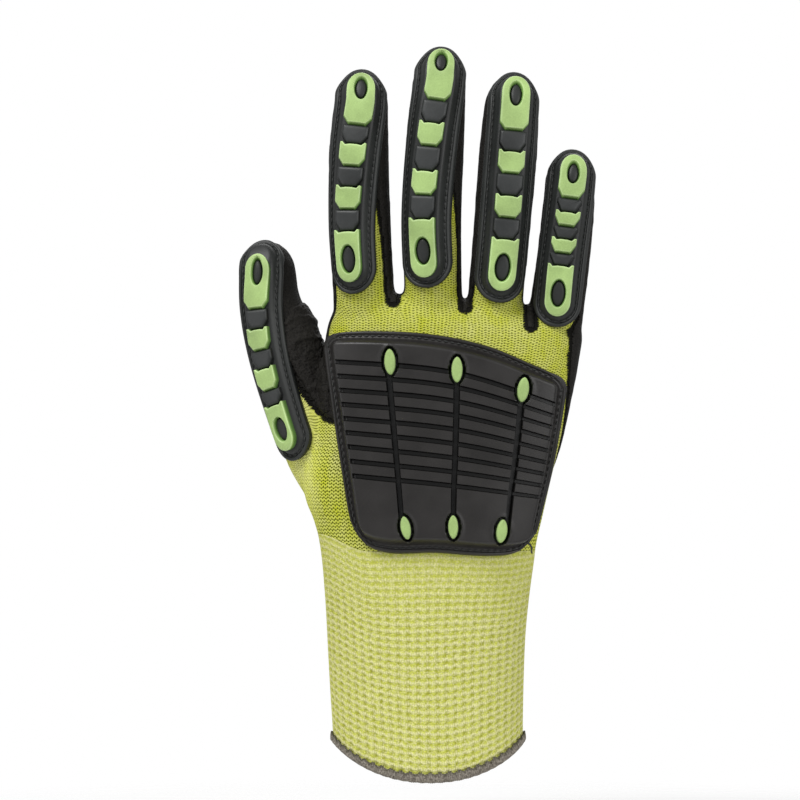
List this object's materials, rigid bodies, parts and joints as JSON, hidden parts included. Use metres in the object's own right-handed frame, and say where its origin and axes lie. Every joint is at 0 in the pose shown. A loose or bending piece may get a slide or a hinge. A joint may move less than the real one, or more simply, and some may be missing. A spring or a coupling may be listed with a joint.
{
  "type": "cut-resistant impact work glove",
  "caption": "Right-hand knitted work glove with a long ribbed cuff, a dipped palm, moulded finger guards with green inserts and a grooved pad on the back of the hand.",
  "frame": {"origin": "middle of the cuff's mouth, where the hand goes in", "axes": "+Z from the cuff to the fingertips, +X from the thumb to the little finger, +Y from the back of the hand to the palm"},
  "size_m": [0.129, 0.0489, 0.2644],
  "materials": {
    "hand_yarn": "bright yellow stockinette of cut-resistant yarn",
    "cuff_yarn": "paler yellow elastic knit in small cells",
    "overlock_thread": "grey-brown overlock thread",
    "nitrile": "black sandy nitrile",
    "black_rubber": "black moulded rubber, satin",
    "green_rubber": "pale green moulded rubber, satin"
  },
  "bodies": {
    "root": {"cuff_knit": "cuff_yarn", "cuff_overlock": "overlock_thread", "hand_knit": "hand_yarn", "hand_knit_palm": "hand_yarn", "hand_knit_knuckles": "hand_yarn", "thumb_stall": "hand_yarn", "index_stall": "hand_yarn", "middle_stall": "hand_yarn", "ring_stall": "hand_yarn", "little_stall": "hand_yarn", "palm_coating": "nitrile", "thumb_crotch_patch": "nitrile", "thumb_guard": "black_rubber", "thumb_insert_base": "green_rubber", "thumb_insert_lower": "green_rubber", "thumb_insert_upper": "green_rubber", "thumb_insert_tip": "green_rubber", "index_guard": "black_rubber", "index_insert_base": "green_rubber", "index_insert_lower": "green_rubber", "index_insert_upper": "green_rubber", "index_insert_tip": "green_rubber", "middle_guard": "black_rubber", "middle_insert_base": "green_rubber", "middle_insert_lower": "green_rubber", "middle_insert_upper": "green_rubber", "middle_insert_tip": "green_rubber", "ring_guard": "black_rubber", "ring_insert_base": "green_rubber", "ring_insert_lower": "green_rubber", "ring_insert_upper": "green_rubber", "ring_insert_tip": "green_rubber", "little_guard": "black_rubber", "little_insert_base": "green_rubber", "little_insert_lower": "green_rubber", "little_insert_upper": "green_rubber", "little_insert_tip": "green_rubber", "back_pad": "black_rubber", "pad_stud_1": "green_rubber", "pad_stud_2": "green_rubber", "pad_stud_3": "green_rubber", "pad_stud_4": "green_rubber", "pad_stud_5": "green_rubber", "pad_stud_6": "green_rubber"}
  },
  "joints": []
}
